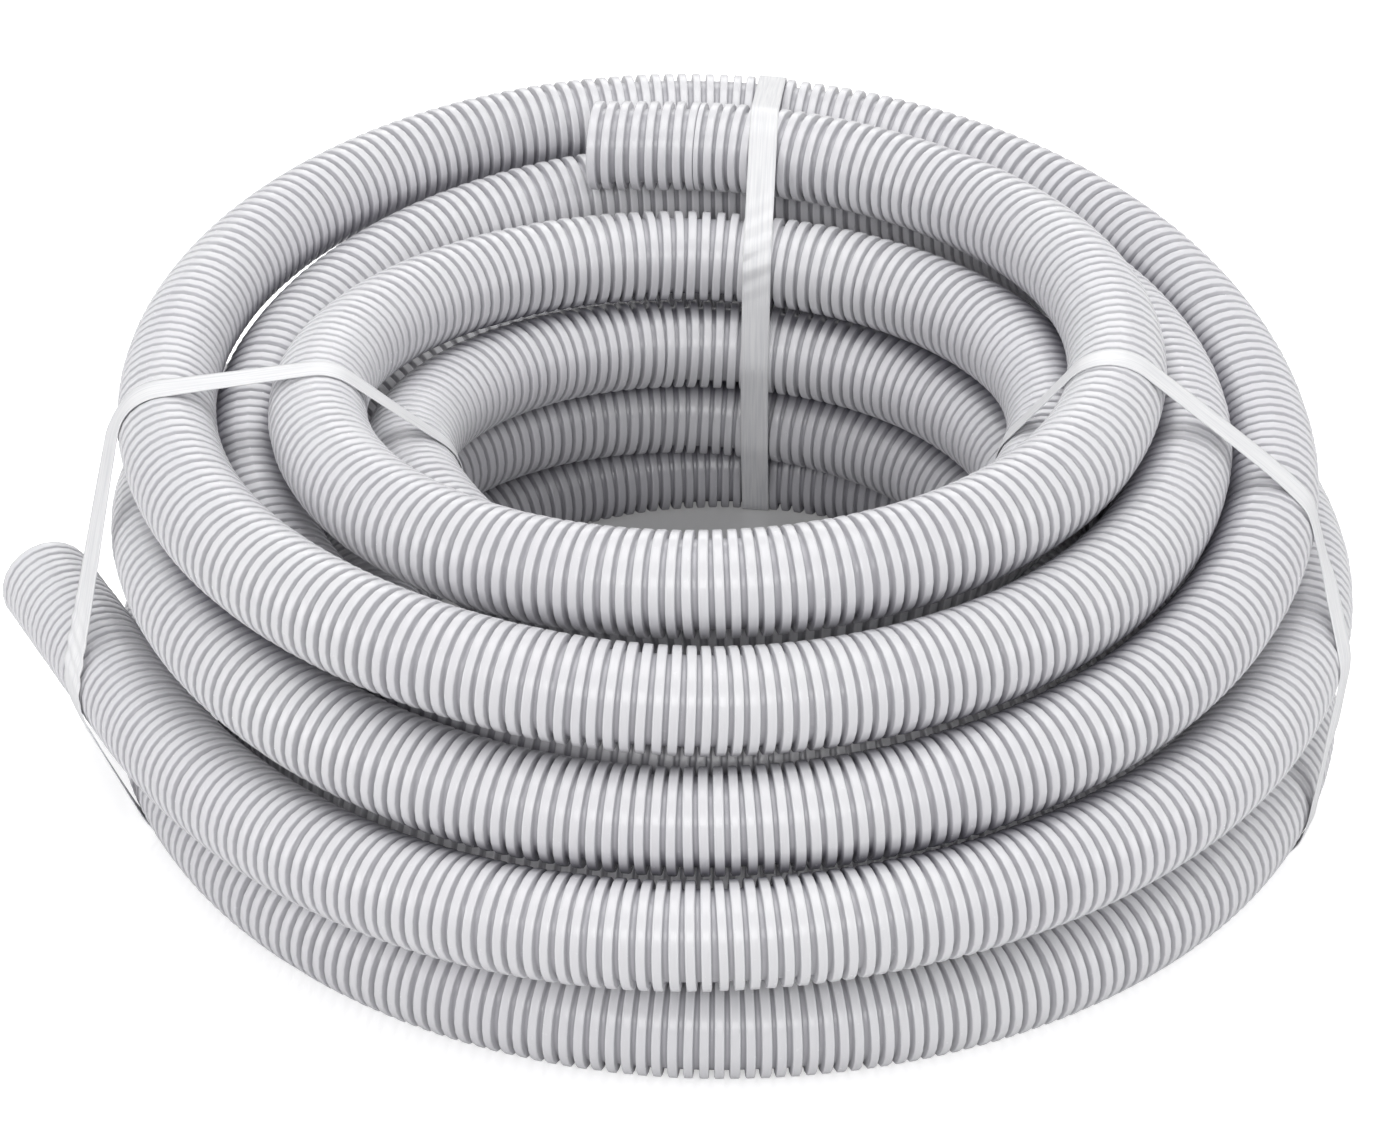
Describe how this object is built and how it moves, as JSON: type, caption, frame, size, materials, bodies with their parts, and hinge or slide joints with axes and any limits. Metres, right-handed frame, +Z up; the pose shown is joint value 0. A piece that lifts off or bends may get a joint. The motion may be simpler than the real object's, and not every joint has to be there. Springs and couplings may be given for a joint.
{
  "type": "coiled pool vacuum hose",
  "caption": "Coil of light grey ribbed pool vacuum hose with bare cut ends, bound with flat translucent plastic straps.",
  "frame": {"origin": "middle of the coil's footprint, on the surface that it lies on", "axes": "+Z up through the coil's eye, +Y to the back where the top turn ends, +X to the right seen from the front; the free end lies at -X"},
  "size_m": [0.6858, 0.6778, 0.2321],
  "materials": {
    "hose_plastic": "semi-gloss blow-moulded plastic, light cool grey",
    "strap_plastic": "translucent white strapping, lightly creased"
  },
  "bodies": {
    "root": {"hose_coil": "hose_plastic", "hose_top_end": "hose_plastic", "hose_free_end": "hose_plastic", "strap_back": "strap_plastic", "strap_right": "strap_plastic", "strap_left": "strap_plastic"}
  },
  "joints": []
}
